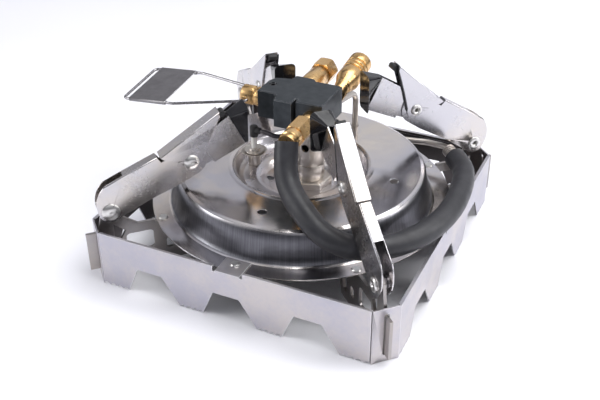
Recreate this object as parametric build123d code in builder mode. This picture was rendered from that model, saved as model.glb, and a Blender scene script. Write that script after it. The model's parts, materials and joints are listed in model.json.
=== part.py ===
"""Folding four-legged gas burner stand, stowed upside down on its pot supports.

Origin: middle of the square frame, on the plane of the pot-support teeth. +Z up.
The flame side of the burner therefore looks down, and the drip pan's underside up.
Millimetres throughout.
"""
from build123d import *
from math import cos, pi, radians, sin, tan
import os

# ---------------------------------------------------------------- driving sizes
SIDE = 200.0            # outer side of the square windshield
HALF = SIDE / 2
WALL_HEIGHT = 37.0      # teeth tips to the folded top edge
SHEET = 1.0             # windshield sheet
CORNER = 11.8           # set-back of each chamfered corner
HEM = 2.4               # depth of the folded top edge

TOOTH_PITCH = 51.6
TOOTH_DEPTH = 17.5
NOTCH_OPEN = 17.8       # half width of a notch at the tips
NOTCH_TOP_LEFT = 10.2
NOTCH_TOP_RIGHT = 6.6
SERRATION = 1.6         # depth of the small grip teeth

PAN_FLANGE_Z = 32.6     # underside of the pan's flange
PAN_SHEET = 0.8
PAN_FLANGE_R = 95.5
PAN_MOUTH_R = 83.0
PAN_FLOOR_R = 78.0
PAN_FLOOR_Z = 54.0
WELL_R = 42.5           # pressed well round the burner
WELL_Z = 47.0
CUP_R = 25.0            # deeper cup under the burner's neck
CUP_Z = 40.0

HINGE_R = 122.5         # leg hinge, from the centre along a diagonal
HINGE_Z = 46.5
KNEE_T = 56.8           # hinge to knee, along the leg
BRACKET = 2.0
LEG_SHEET = 0.8
ARM_HALF = 3.6          # half width of the upper leg channel
SADDLE_HALF = 4.7       # half width of the knee saddle
PIN_R = 2.0
RUN_GAP = 0.05          # radial clearance of a running pin

# each leg: azimuth of its corner, stowed angle of the arm, angle of its foot at the knee
LEGS = {
    "left": (225.0, 26.0, 0.0),
    "front": (315.0, 38.0, -14.0),
    "right": (45.0, 36.0, -10.0),
    "back": (135.0, 30.0, -4.0),
}

NECK_X, NECK_Y = 5.0, 3.0       # axis of the burner's mixing tube
NECK_R = 8.6
NECK_TOP = 83.0

BLOCK_LOW, BLOCK_HIGH = 85.0, 103.0
SPINDLE_Y, SPINDLE_Z = 3.0, 93.0
BAIL_X = -36.0                  # cross hole of the spindle
WIRE_R = 0.9
BAIL_DROOP = 6.0                # degrees below level, stowed
BAIL_TURN = 6.0           # how far the closed valve leaves the bail turned about the spindle

FITTING_X, FITTING_Z = 12.0, 93.4
HOSE_R = 7.0
LEAD_R = 1.5
TUBE_R = 2.0                    # gas tube

os.makedirs("parts", exist_ok=True)


def save(builder, name, place=Plane.XY):
    """Label a finished piece, stand it on its plane and write its file."""
    piece = getattr(builder, "part", builder).moved(place.location)
    piece.label = name
    export_step(piece, f"parts/{name}.step")


# ---------------------------------------------------------------- windshield
def wall_plane(azimuth):
    """Sketch plane of one wall: x along the wall, y up, normal pointing outward."""
    out = Vector(cos(radians(azimuth)), sin(radians(azimuth)), 0)
    along = Vector(-out.Y, out.X, 0)
    return Plane(origin=out * HALF, x_dir=along, z_dir=out)


def tooth_line():
    """Lower edge of a wall, left to right: four tips with grip teeth, three notches."""
    points = []
    tips = []
    left = -(HALF - CORNER)
    for notch in (-1, 0, 1):
        middle = notch * TOOTH_PITCH
        tips.append((left, middle - NOTCH_OPEN))
        left = middle + NOTCH_OPEN
    tips.append((left, HALF - CORNER))
    for index, (start, end) in enumerate(tips):
        step = (end - start) / 4
        points.append((start, 0))
        for tooth in range(4):
            if tooth:
                points.append((start + tooth * step, 0))
            points.append((start + (tooth + 0.55) * step, SERRATION))
        points[-1] = (end - 0.45 * step, SERRATION)
        points.append((end, 0))
        if index < 3:
            middle = (index - 1) * TOOTH_PITCH
            points.append((middle - NOTCH_TOP_LEFT, TOOTH_DEPTH))
            points.append((middle + NOTCH_TOP_RIGHT, TOOTH_DEPTH))
    return points


TAB_HALF = 8.0          # tab that holds the pan down, at the middle of each wall
TAB_REACH = 15.0
SLOT_HALF = 1.6         # slot in a chamfer, for the bracket's fin
FIN_LOW, FIN_HIGH = 6.0, 32.0


def windshield(name, azimuth, chamfers):
    """One wall with its pan tab; two opposite walls carry the bent corner panels."""
    plane = wall_plane(azimuth)
    flat = HALF - CORNER
    seam = 0 if chamfers else 0.8
    tab_z = PAN_FLANGE_Z + PAN_SHEET
    with BuildPart() as wall:
        with BuildSketch(plane):
            with BuildLine():
                Polyline((flat, 0), (flat, WALL_HEIGHT), (-flat, WALL_HEIGHT), (-flat, 0))
                Polyline(*tooth_line())
            make_face()
        extrude(amount=-SHEET)
        # folded hem along the top, doubled to the inside
        with BuildSketch(plane.offset(-SHEET)):
            with Locations((0, WALL_HEIGHT - HEM / 2)):
                Rectangle(2 * flat - 1.0, HEM)
        extrude(amount=-SHEET)
        # the tab is cut free and bent in over the pan's flange
        with BuildSketch(plane.offset(1)):
            with Locations((0, (WALL_HEIGHT + tab_z) / 2 + 0.6)):
                Rectangle(2 * TAB_HALF + 3.0, WALL_HEIGHT - tab_z + 1.2)
        extrude(amount=-(2 * SHEET + 2), mode=Mode.SUBTRACT)
        with BuildSketch(plane):
            with Locations((0, tab_z + SHEET / 2)):
                Rectangle(2 * TAB_HALF, SHEET)
        extrude(amount=-TAB_REACH)
        with BuildSketch(Plane.XY.offset(tab_z - 1)):
            with Locations(tuple(plane.from_local_coords(Vector(0, 0, -TAB_REACH + 5)))[:2]):
                Circle(1.6)
        extrude(amount=SHEET + 2, mode=Mode.SUBTRACT)
        if seam:
            with BuildSketch(plane.offset(1)):
                with Locations((-flat, WALL_HEIGHT / 2), (flat, WALL_HEIGHT / 2)):
                    Rectangle(2 * seam, WALL_HEIGHT + 2)
            extrude(amount=-(2 * SHEET + 2), mode=Mode.SUBTRACT)
        if chamfers:
            for side in (-1, 1):
                corner = plane.from_local_coords(Vector(side * flat, 0, 0))
                far = plane.from_local_coords(Vector(side * HALF, 0, -CORNER))
                span = (far - corner).length
                run = (far - corner).normalized()
                out = Vector(corner.X + far.X, corner.Y + far.Y, 0).normalized()
                turn = Plane(origin=corner, x_dir=run, z_dir=run.cross(Vector(0, 0, 1)))
                depth = -SHEET if turn.z_dir.dot(out) > 0 else SHEET
                rise = turn.y_dir.Z
                with BuildSketch(turn):
                    with Locations((span / 2, rise * WALL_HEIGHT / 2)):
                        Rectangle(span, WALL_HEIGHT)
                    with Locations((span / 2, rise * (FIN_LOW + FIN_HIGH) / 2)):
                        SlotOverall(FIN_HIGH - FIN_LOW + 3, 2 * SLOT_HALF, 90, mode=Mode.SUBTRACT)
                extrude(amount=depth)
    save(wall, name)


for side, (name, azimuth) in enumerate((("front", -90), ("right", 0), ("back", 90), ("left", 180))):
    windshield(f"windshield_{name}", azimuth, chamfers=side % 2 == 1)


# ---------------------------------------------------------------- corner brackets
def upright_plane(azimuth, tilt=0.0, origin_r=0.0, origin_z=0.0):
    """Plane standing on a diagonal: local x runs inward, tilted up by tilt; normal is sideways."""
    out = Vector(cos(radians(azimuth)), sin(radians(azimuth)), 0)
    up = Vector(0, 0, 1)
    inward = out * -cos(radians(tilt)) + up * sin(radians(tilt))
    rise = out * sin(radians(tilt)) + up * cos(radians(tilt))
    return Plane(origin=out * origin_r + up * origin_z, x_dir=inward, z_dir=inward.cross(rise))


CHAMFER_R = (2 * HALF - CORNER) / 2 ** 0.5
BRACKET_IN = 62.0
BRACKET_LOW, BRACKET_HIGH = 3.0, PAN_FLANGE_Z
BOSS_R = 4.0


def corner_bracket(name, azimuth):
    """Upright plate on the diagonal: carries the pan's flange and the leg's hinge."""
    plane = upright_plane(azimuth)
    with BuildPart() as bracket:
        with BuildSketch(plane):
            with BuildLine():
                Polyline(
                    (-BRACKET_IN, BRACKET_HIGH), (-BRACKET_IN, 24), (-72, BRACKET_LOW),
                    (-86, BRACKET_LOW), (-92, 8), (-104, 8), (-112, BRACKET_LOW),
                    (-CHAMFER_R + 1.4, BRACKET_LOW), (-CHAMFER_R + 1.4, FIN_LOW),
                    (-CHAMFER_R - 6, FIN_LOW), (-CHAMFER_R - 6, FIN_HIGH),
                    (-CHAMFER_R + 1.4, FIN_HIGH), (-HINGE_R - 6.5, HINGE_Z - 4),
                    (-HINGE_R - 5.5, HINGE_Z + 3), (-HINGE_R, HINGE_Z + 6), (-HINGE_R + 5.5, HINGE_Z + 2),
                    (-HINGE_R + 6, HINGE_Z - 6), (-107, BRACKET_HIGH + 1),
                    (-PAN_FLANGE_R - 1, BRACKET_HIGH + 1), (-PAN_FLANGE_R - 1, BRACKET_HIGH),
                    close=True,
                )
            make_face()
            with Locations((-106.5, 20.5)):
                RectangleRounded(17, 13, 2.5, mode=Mode.SUBTRACT)
            with Locations((-88, 15)):
                RectangleRounded(5, 7, 1.5, mode=Mode.SUBTRACT)
            with BuildLine():
                Polyline((-68, 26), (-80, 26), (-80, 9), (-75, 9), close=True)
            make_face(mode=Mode.SUBTRACT)
            with BuildLine():
                Polyline((-122, 36), (-115, 30), (-122, 18), close=True)
            make_face(mode=Mode.SUBTRACT)
        extrude(amount=BRACKET / 2, both=True)
        with BuildSketch(plane):
            with Locations((-HINGE_R, HINGE_Z)):
                Circle(BOSS_R)
        extrude(amount=ARM_HALF - LEG_SHEET - RUN_GAP, both=True)
        with BuildSketch(plane):
            with Locations((-HINGE_R, HINGE_Z)):
                Circle(PIN_R)
        extrude(amount=ARM_HALF, both=True, mode=Mode.SUBTRACT)
    save(bracket, name)


for leg, (azimuth, _, _) in LEGS.items():
    corner_bracket(f"corner_bracket_{leg}", azimuth)


# ---------------------------------------------------------------- legs
# Leg pieces are drawn in the leg's own frame: x from the hinge along the leg, y towards
# its spine, z across it. The leg's plane then stands them at their corner.
SPINE_START, SPINE_END = 18.5, 41.0
SPINE_Y1, SPINE_Y2 = 16.6, 15.0
ARM_DEPTH = 9.5                 # lower edge of the arm and foot below the pin line
SADDLE_START, SADDLE_TIP = 42.6, 86.6
SADDLE_Y1, SADDLE_Y2 = 13.8, 18.5
FOOT_END = 90.0
SHOE_TOP = (102.5, 11.5)        # far edge of the foot's flared shoe
SHOE_LOW = (91.2, -11.0)
HINGE_HEAD_R, KNEE_HEAD_R, HEAD_H = 5.6, 4.6, 1.6
BUMPER_HALF = 2.8


def channel_space(half):
    """Take the inside of a channel away from the part being built, on both sides."""
    extrude(amount=half, both=True, mode=Mode.SUBTRACT)


def leg_arm():
    """Upper link: narrow channel from the corner hinge to the knee, spine on top."""
    with BuildPart() as arm:
        with BuildSketch():
            with BuildLine():
                Polyline((0, -7), (23, -7.3), (45, -ARM_DEPTH), (KNEE_T, -ARM_DEPTH))
                ThreePointArc((KNEE_T, -ARM_DEPTH), (KNEE_T + ARM_DEPTH, 0), (KNEE_T, ARM_DEPTH))
                Polyline((KNEE_T, ARM_DEPTH), (SPINE_END + 0.6, ARM_DEPTH + 0.7), (SPINE_END, SPINE_Y2),
                         (SPINE_START, SPINE_Y1), (7, 17.2))
                ThreePointArc((7, 17.2), (-3.4, 10.5), (-7, 0))
                ThreePointArc((-7, 0), (-4.95, -4.95), (0, -7))
            make_face()
        extrude(amount=ARM_HALF, both=True)
        spine_edges = arm.edges().filter_by_position(Axis.Y, SPINE_Y2 - 0.1, SPINE_Y1 + 0.1)
        fillet(spine_edges.filter_by(Axis.Z, reverse=True).filter_by_position(
            Axis.X, SPINE_START, SPINE_END), 0.9)
        with BuildSketch():
            Rectangle(200, 80)
            with BuildLine():
                Polyline((SPINE_START, SPINE_Y1 - LEG_SHEET), (SPINE_END, SPINE_Y2 - LEG_SHEET),
                         (SPINE_END, 30), (SPINE_START, 30), close=True)
            make_face(mode=Mode.SUBTRACT)
        channel_space(ARM_HALF - LEG_SHEET)
        with BuildSketch():
            Circle(PIN_R + RUN_GAP)
            with Locations((KNEE_T, 0)):
                Circle(PIN_R)
        extrude(amount=ARM_HALF + 1, both=True, mode=Mode.SUBTRACT)
    return arm


def leg_saddle():
    """Wider channel riveted over the knee: it stops the foot from folding upwards."""
    inner = SADDLE_HALF - LEG_SHEET
    with BuildPart() as saddle:
        with BuildSketch():
            with BuildLine():
                Polyline((SADDLE_START, SADDLE_Y1), (SADDLE_TIP, SADDLE_Y2), (85.6, 15.6), (81, 12),
                         (72, 5), (61.4, -4.2))
                ThreePointArc((61.4, -4.2), (56.0, -6.1), (51.4, -2.8))
                Spline((51.4, -2.8), (49.8, 5.2), (SADDLE_START + 1.6, SADDLE_Y1 - 3))
                Polyline((SADDLE_START + 1.6, SADDLE_Y1 - 3), (SADDLE_START, SADDLE_Y1))
            make_face()
        extrude(amount=SADDLE_HALF, both=True)
        with BuildSketch():
            with BuildLine():
                Polyline((30, -20), (110, -20), (110, SADDLE_Y2 + 2), (SADDLE_TIP + 1, SADDLE_Y2 - LEG_SHEET),
                         (SADDLE_START - 1, SADDLE_Y1 - LEG_SHEET - 0.1), (30, SADDLE_Y1 - 3), close=True)
            make_face()
        channel_space(inner)
        top_edges = saddle.edges().filter_by_position(Axis.Y, SADDLE_Y1 - 0.1, SADDLE_Y2 + 0.1)
        fillet(top_edges.filter_by(Axis.Z, reverse=True).filter_by_position(
            Axis.Z, SADDLE_HALF - 0.01, SADDLE_HALF + 0.01), 0.75)
        top_edges = saddle.edges().filter_by_position(Axis.Y, SADDLE_Y1 - 0.1, SADDLE_Y2 + 0.1)
        fillet(top_edges.filter_by(Axis.Z, reverse=True).filter_by_position(
            Axis.Z, -SADDLE_HALF - 0.01, -SADDLE_HALF + 0.01), 0.75)
        with BuildSketch():
            with Locations((KNEE_T, 0)):
                Circle(PIN_R)
        extrude(amount=SADDLE_HALF + 1, both=True, mode=Mode.SUBTRACT)
    return saddle


def knee_bumper():
    """Rubber block under the saddle's tip, against which the foot stops."""
    with BuildPart() as bumper:
        with BuildSketch():
            with BuildLine():
                Polyline((78.5, 13.4), (78.5, 16.2), (SADDLE_TIP + 1.0, 17.4))
                ThreePointArc((SADDLE_TIP + 1.0, 17.4), (SADDLE_TIP + 2.4, 16.8), (SADDLE_TIP + 2.8, 15.2))
                Polyline((SADDLE_TIP + 2.8, 15.2), (SADDLE_TIP + 2.2, 13.9), (78.5, 13.4))
            make_face()
        extrude(amount=BUMPER_HALF, both=True)
    return bumper


def leg_foot():
    """Lower link: narrow ears on the knee pin, joggled out to the arm's width beyond it."""
    ear = ARM_HALF - LEG_SHEET - 0.25
    with BuildPart() as foot:
        with BuildSketch():
            with BuildLine():
                Polyline((KNEE_T, 7.5), (FOOT_END, 12.6), (FOOT_END, -ARM_DEPTH - 0.4), (KNEE_T, -7.5))
                ThreePointArc((KNEE_T, -7.5), (KNEE_T - 7.5, 0), (KNEE_T, 7.5))
            make_face()
        extrude(amount=ear, both=True)
        with BuildSketch():
            with BuildLine():
                Polyline((KNEE_T + ARM_DEPTH + 1.6, 10.2), (FOOT_END, 12.6), (FOOT_END, -ARM_DEPTH - 0.4),
                         (KNEE_T + ARM_DEPTH + 1.6, -ARM_DEPTH), close=True)
            make_face()
        extrude(amount=ARM_HALF, both=True)
        with BuildSketch():
            with Locations((KNEE_T - 5, 0)):
                Rectangle(34.4, 60)
        channel_space(ear - LEG_SHEET)
        with BuildSketch():
            with Locations((KNEE_T + ARM_DEPTH + 22.4, 0)):
                Rectangle(40, 60)
        channel_space(ARM_HALF - LEG_SHEET)
        with BuildSketch():
            with Locations((KNEE_T + 25, -ARM_DEPTH + 0.4)):
                Rectangle(13, LEG_SHEET)
        extrude(amount=ARM_HALF - LEG_SHEET / 2, both=True)
        with BuildSketch():
            with Locations((KNEE_T, 0)):
                Circle(PIN_R + RUN_GAP)
        extrude(amount=ARM_HALF, both=True, mode=Mode.SUBTRACT)
    return foot


SHOE_SHEET = 1.1
SHOE_FLARE, SHOE_PLAIN = 9.7, 4.4       # reach of the sole on the flared and on the plain side


def shoe_section(flared, plain, low, top, corner):
    """Round-cornered section of the shoe on the slanted plane through low and top."""
    rise = Vector(top[0] - low[0], top[1] - low[1], 0)
    plane = Plane(origin=Vector(*low, 0), x_dir=Vector(0, 0, 1), z_dir=Vector(0, 0, 1).cross(rise))
    with BuildSketch(plane) as section:
        with BuildLine():
            Polyline((-flared, 0), (plain, 0), (plain, rise.length), (-flared, rise.length), close=True)
        make_face()
        fillet(section.vertices(), corner)
    return section.sketch


def foot_shoe():
    """End of the foot: hollow shell flared to one side, closed by a slanted sole, open below."""
    half = ARM_HALF - SHOE_SHEET
    with BuildPart() as shoe:
        add(shoe_section(ARM_HALF, ARM_HALF, (FOOT_END, -ARM_DEPTH - 0.4), (FOOT_END, 12.6), 1.0))
        add(shoe_section(SHOE_FLARE, SHOE_PLAIN, SHOE_LOW, SHOE_TOP, 3.2))
        loft(ruled=True)
        inner_low = (SHOE_LOW[0] - SHOE_SHEET - 1.2, SHOE_LOW[1] - 2.2)
        inner_top = (SHOE_TOP[0] - SHOE_SHEET - 0.7, SHOE_TOP[1] - SHOE_SHEET)
        add(shoe_section(half, half, (FOOT_END - 2, -ARM_DEPTH - 3), (FOOT_END - 2, 12.6 - SHOE_SHEET), 0.6))
        add(shoe_section(SHOE_FLARE - SHOE_SHEET, SHOE_PLAIN - SHOE_SHEET, inner_low, inner_top, 2.0))
        loft(ruled=True, mode=Mode.SUBTRACT)
    return shoe


def rivet(centre, reach, head_r, head_h=HEAD_H):
    """Rivet across the leg: dome on one side, rolled eyelet on the other, seats reach apart."""
    eye_r, eye_depth = 1.1, 3.0
    ring_r = head_r * 0.82
    with BuildPart() as pin:
        with BuildSketch(Plane.XZ):
            with BuildLine():
                ThreePointArc((0, reach + head_h), (head_r * 0.72, reach + 0.75 * head_h),
                              (head_r, reach + 0.2))
                Polyline((head_r, reach + 0.2), (head_r, reach), (PIN_R, reach), (PIN_R, -reach),
                         (ring_r, -reach), (ring_r, -reach - 0.4))
                ThreePointArc((ring_r, -reach - 0.4), ((ring_r + eye_r) / 2, -reach - 0.8 * head_h),
                              (eye_r, -reach - 0.3))
                Polyline((eye_r, -reach - 0.3), (eye_r, eye_depth - reach), (0, eye_depth - reach),
                         (0, reach + head_h))
            make_face()
        revolve(axis=Axis.Z)
    return pin.part.moved(Location((*centre, 0)))


arm = leg_arm()
saddle = leg_saddle()
bumper = knee_bumper()
foot = leg_foot()
shoe = foot_shoe()
knee_rivet = rivet((KNEE_T, 0), SADDLE_HALF, KNEE_HEAD_R)
hinge_pin = rivet((0, 0), ARM_HALF + RUN_GAP, HINGE_HEAD_R)
hinge_pins = []

for leg, (azimuth, tilt, knee) in LEGS.items():
    standing = upright_plane(azimuth, tilt, HINGE_R, HINGE_Z)
    bent = Plane(origin=standing.from_local_coords(Vector(KNEE_T, 0, 0)),
                 x_dir=standing.x_dir.rotate(Axis((0, 0, 0), standing.z_dir), knee), z_dir=standing.z_dir)
    from_knee = Plane(origin=bent.from_local_coords(Vector(-KNEE_T, 0, 0)), x_dir=bent.x_dir,
                      z_dir=bent.z_dir)
    save(arm, f"leg_arm_{leg}", standing)
    save(saddle, f"knee_saddle_{leg}", standing)
    save(bumper, f"knee_bumper_{leg}", standing)
    save(knee_rivet, f"knee_rivet_{leg}", standing)
    hinge_pins.append(hinge_pin.moved(standing.location))
    save(foot, f"leg_foot_{leg}", from_knee)
    save(shoe, f"foot_shoe_{leg}", from_knee)

save(Compound(children=hinge_pins), "hinge_rivets")


# ---------------------------------------------------------------- drip pan
PAN_TOP = PAN_FLANGE_Z + PAN_SHEET
NECK_HOLE_R = NECK_R - 1.4      # the mixing tube stands over this hole
VENT_HOLE_R = 2.9
VENT_R, VENT_TURN = 61.2, 3.0   # ring of vent holes in the pan's floor
CUP_VENT_R, CUP_HOLE_R = 20.4, 2.4
FLANGE_RIVET_R = 91.0           # rivets to the corner brackets

UPPER_SIDE = [
    (0, CUP_Z), (CUP_R - 4, CUP_Z), (CUP_R - 1, CUP_Z + 1.4), (CUP_R + 1, WELL_Z - 1), (CUP_R + 4, WELL_Z),
    (WELL_R - 5.5, WELL_Z), (WELL_R - 2.6, WELL_Z + 1.2), (WELL_R - 0.8, PAN_FLOOR_Z - 0.6),
    (WELL_R + 1.4, PAN_FLOOR_Z + 0.5), (WELL_R + 4, PAN_FLOOR_Z), (PAN_FLOOR_R - 2.6, PAN_FLOOR_Z),
    (PAN_FLOOR_R - 0.4, PAN_FLOOR_Z - 0.9), (PAN_FLOOR_R + 0.8, PAN_FLOOR_Z - 3),
    (PAN_MOUTH_R - 1.2, PAN_TOP + 3), (PAN_MOUTH_R + 0.2, PAN_TOP + 0.8), (PAN_MOUTH_R + 2, PAN_TOP), (PAN_FLANGE_R, PAN_TOP),
]
LOWER_SIDE = [
    (0, CUP_Z - PAN_SHEET), (CUP_R - 3.6, CUP_Z - PAN_SHEET), (CUP_R + 0.2, CUP_Z + 1),
    (CUP_R + 2.2, WELL_Z - 1.4), (CUP_R + 4.4, WELL_Z - PAN_SHEET), (WELL_R - 5.1, WELL_Z - PAN_SHEET),
    (WELL_R - 1.7, WELL_Z + 0.7), (WELL_R + 0.2, PAN_FLOOR_Z - 1.1), (WELL_R + 1.8, PAN_FLOOR_Z - 0.5),
    (WELL_R + 4, PAN_FLOOR_Z - PAN_SHEET), (PAN_FLOOR_R - 3.2, PAN_FLOOR_Z - PAN_SHEET),
    (PAN_FLOOR_R - 1.4, PAN_FLOOR_Z - 1.5), (PAN_FLOOR_R - 0.2, PAN_FLOOR_Z - 3.4),
    (PAN_MOUTH_R - 2.2, PAN_TOP + 2.6), (PAN_MOUTH_R - 0.6, PAN_TOP), (PAN_MOUTH_R + 1.6, PAN_FLANGE_Z),
    (PAN_FLANGE_R, PAN_FLANGE_Z),
]
IGNITER_X, IGNITER_Y = -32.5, -1.8

# the gas tube runs through the dish's side wall and up through its floor
TUBE_Z = 47.0
tube_turn = Vector(60.0, 71.0, TUBE_Z)
riser_foot = Vector(11.6, 61.2, TUBE_Z)
tube_heading = riser_foot - tube_turn
tube_entry = tube_turn + tube_heading * 0.363

with BuildPart() as drip_pan:
    with BuildSketch(Plane.XZ):
        with BuildLine():
            Polyline(*UPPER_SIDE, *LOWER_SIDE[::-1], close=True)
        make_face()
    revolve(axis=Axis.Z)
    with BuildSketch(Plane.XY.offset(CUP_Z - 5)):
        with Locations((NECK_X, NECK_Y)):
            Circle(NECK_HOLE_R)
        with Locations((IGNITER_X, IGNITER_Y)):
            Circle(2.3)
        with PolarLocations(VENT_R, 4, start_angle=VENT_TURN):
            Circle(VENT_HOLE_R)
        with PolarLocations(CUP_VENT_R, 3, start_angle=72):
            Circle(CUP_HOLE_R)
        with Locations((riser_foot.X, riser_foot.Y)):
            Circle(TUBE_R + 0.4)
    extrude(amount=30, mode=Mode.SUBTRACT)
    with BuildSketch(Plane.XY.offset(PAN_FLANGE_Z - 1)):
        with PolarLocations(FLANGE_RIVET_R, 4, start_angle=45):
            Circle(1.6)
        with PolarLocations(HALF - TAB_REACH + 5, 4):
            Circle(1.6)
    extrude(amount=3, mode=Mode.SUBTRACT)
    with BuildSketch(Plane(origin=tube_entry, z_dir=tube_heading)):
        Circle(TUBE_R + 0.4)
    extrude(amount=9, both=True, mode=Mode.SUBTRACT)
save(drip_pan, "drip_pan")


def flange_rivets(radius, first, low, high, clinched):
    """Ring of four small domed rivets through low to high, some clinched underneath."""
    with BuildPart() as rivets:
        with BuildSketch(Plane.XY.offset(low)):
            with PolarLocations(radius, 4, start_angle=first):
                Circle(1.6)
        extrude(amount=high - low)
        for at in PolarLocations(radius, 4, start_angle=first).locations:
            dome = Plane(origin=at.position + Vector(0, 0, high), x_dir=(1, 0, 0), z_dir=(0, 0, 1))
            with BuildSketch(dome):
                Circle(3.0)
            extrude(amount=0.9, taper=35)
            if clinched:
                with BuildSketch(Plane(origin=at.position + Vector(0, 0, low), z_dir=(0, 0, -1))):
                    Circle(2.4)
                extrude(amount=0.7, taper=30)
    return rivets.part


tab_rivets = flange_rivets(HALF - TAB_REACH + 5, 0, PAN_FLANGE_Z, PAN_TOP + SHEET, True)
bracket_rivets = flange_rivets(FLANGE_RIVET_R, 45, PAN_FLANGE_Z, PAN_TOP, False)
save(Compound(children=[*tab_rivets.solids(), *bracket_rivets.solids()]), "pan_rivets")


# ---------------------------------------------------------------- burner
NUT_R, NUT_H = 13.5, 4.6
NECK_FOOT = CUP_Z + NUT_H
HEAD_PLATE_R = 27.0
HEAD_LOW, HEAD_HIGH = 14.0, 30.0
AIR_HOLE_R = 2.6

with BuildPart() as neck_nut:
    with BuildSketch(Plane.XY.offset(CUP_Z)):
        with Locations((NECK_X, NECK_Y)):
            RegularPolygon(NUT_R, 6, rotation=20)
            Circle(NECK_HOLE_R, mode=Mode.SUBTRACT)
    extrude(amount=NUT_H)
    chamfer(neck_nut.faces().sort_by(Axis.Z)[-1].outer_wire().edges(), 0.7)
save(neck_nut, "neck_nut")

JOINT_Z = 55.0                  # where the tube's lower collar ends
with BuildPart() as neck_collar:
    with BuildSketch(Plane.XY.offset(NECK_FOOT)):
        with Locations((NECK_X, NECK_Y)):
            Circle(NECK_R)
            Circle(NECK_R - 1.4, mode=Mode.SUBTRACT)
    extrude(amount=JOINT_Z - 0.4 - NECK_FOOT)
save(neck_collar, "neck_collar")

with BuildPart() as mixing_tube:
    with BuildSketch(Plane.XY.offset(JOINT_Z)):
        with Locations((NECK_X, NECK_Y)):
            Circle(NECK_R)
            Circle(NECK_R - 1.4, mode=Mode.SUBTRACT)
    extrude(amount=NECK_TOP - 6 - JOINT_Z)
    with BuildSketch(Plane.XY.offset(JOINT_Z - 0.4)):
        with Locations((NECK_X, NECK_Y)):
            Circle(NECK_R - 0.6)
            Circle(NECK_R - 1.4, mode=Mode.SUBTRACT)
    extrude(amount=0.4)
    with Locations((NECK_X, NECK_Y, NECK_TOP - 15)):
        for turn in (0, 90):
            Cylinder(AIR_HOLE_R, 40, rotation=(90, 0, turn - 25), mode=Mode.SUBTRACT)
save(mixing_tube, "mixing_tube")

with BuildPart() as jet_holder:
    with BuildSketch(Plane.XY.offset(NECK_TOP - 12)):
        with Locations((NECK_X, NECK_Y)):
            Circle(NECK_R - 1.4)
    extrude(amount=6)
    with BuildSketch(Plane.XY.offset(NECK_TOP - 6)):
        with Locations((NECK_X, NECK_Y)):
            RegularPolygon(6.4, 6)
    extrude(amount=5.4)
    chamfer(jet_holder.faces().sort_by(Axis.Z)[-1].edges(), 0.5)
    with Locations((NECK_X, NECK_Y, NECK_TOP - 3.4)):
        Cylinder(TUBE_R, 20, rotation=(-90, 0, 0), align=(Align.CENTER, Align.CENTER, Align.MIN),
                 mode=Mode.SUBTRACT)
save(jet_holder, "jet_holder")

FLAME_PORTS = 24
with BuildPart() as burner_head:
    with BuildSketch(Plane.XZ.offset(-NECK_Y)):
        with BuildLine():
            Polyline((NECK_X + NECK_R - 1.4, HEAD_HIGH), (NECK_X + 11, HEAD_HIGH),
                     (NECK_X + HEAD_PLATE_R - 4, HEAD_HIGH - 8), (NECK_X + HEAD_PLATE_R, HEAD_HIGH - 8),
                     (NECK_X + HEAD_PLATE_R, HEAD_LOW), (NECK_X + HEAD_PLATE_R - 2, HEAD_LOW),
                     (NECK_X + HEAD_PLATE_R - 2, HEAD_HIGH - 10), (NECK_X + HEAD_PLATE_R - 5, HEAD_HIGH - 10),
                     (NECK_X + 10, HEAD_HIGH - 2), (NECK_X + NECK_R - 1.4, HEAD_HIGH - 2), close=True)
        make_face()
    revolve(axis=Axis((NECK_X, NECK_Y, 0), (0, 0, 1)))
    with BuildSketch(Plane.XY.offset(HEAD_HIGH)):
        with Locations((NECK_X, NECK_Y)):
            Circle(NECK_R + 1)
            Circle(NECK_R - 1.4, mode=Mode.SUBTRACT)
    extrude(amount=CUP_Z - PAN_SHEET - HEAD_HIGH)
    for turn in range(FLAME_PORTS // 2):
        with Locations((NECK_X, NECK_Y, HEAD_LOW + 4)):
            Cylinder(0.8, 4 * HEAD_PLATE_R, rotation=(90, 0, turn * 360 / FLAME_PORTS), mode=Mode.SUBTRACT)
save(burner_head, "burner_head")

with BuildPart() as burner_cap:
    with BuildSketch(Plane.XY.offset(HEAD_LOW - 1.6)):
        with Locations((NECK_X, NECK_Y)):
            Circle(HEAD_PLATE_R + 1)
    extrude(amount=1.6)
    with BuildSketch(Plane.XY.offset(HEAD_LOW)):
        with Locations((NECK_X, NECK_Y)):
            Circle(HEAD_PLATE_R - 2.2)
            Circle(HEAD_PLATE_R - 3.6, mode=Mode.SUBTRACT)
    extrude(amount=1.6)
    fillet(burner_cap.edges().group_by(Axis.Z)[0], 0.8)
save(burner_cap, "burner_cap")


# ---------------------------------------------------------------- igniter
CERAMIC_R = 1.9
CERAMIC_TOP = 71.0
SPARK_END = 22.0

with BuildPart() as igniter_collar:
    with BuildSketch(Plane.XY.offset(WELL_Z)):
        with Locations((IGNITER_X, IGNITER_Y)):
            Circle(4.0)
            Circle(CERAMIC_R + 0.05, mode=Mode.SUBTRACT)
    extrude(amount=9)
    with BuildSketch(Plane.XY.offset(WELL_Z + 9)):
        with Locations((IGNITER_X, IGNITER_Y)):
            Circle(6.2)
            Circle(CERAMIC_R + 0.05, mode=Mode.SUBTRACT)
    extrude(amount=1.2)
    with BuildSketch(Plane.XY.offset(WELL_Z + 10.2)):
        with Locations((IGNITER_X, IGNITER_Y)):
            Circle(3.6)
            Circle(CERAMIC_R + 0.05, mode=Mode.SUBTRACT)
    extrude(amount=1.4)
save(igniter_collar, "igniter_collar")

with BuildPart() as igniter_ceramic:
    with BuildSketch(Plane.XY.offset(WELL_Z - 9)):
        with Locations((IGNITER_X, IGNITER_Y)):
            Circle(CERAMIC_R)
            Circle(0.7, mode=Mode.SUBTRACT)
    extrude(amount=CERAMIC_TOP - WELL_Z + 9)
save(igniter_ceramic, "igniter_ceramic")

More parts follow.
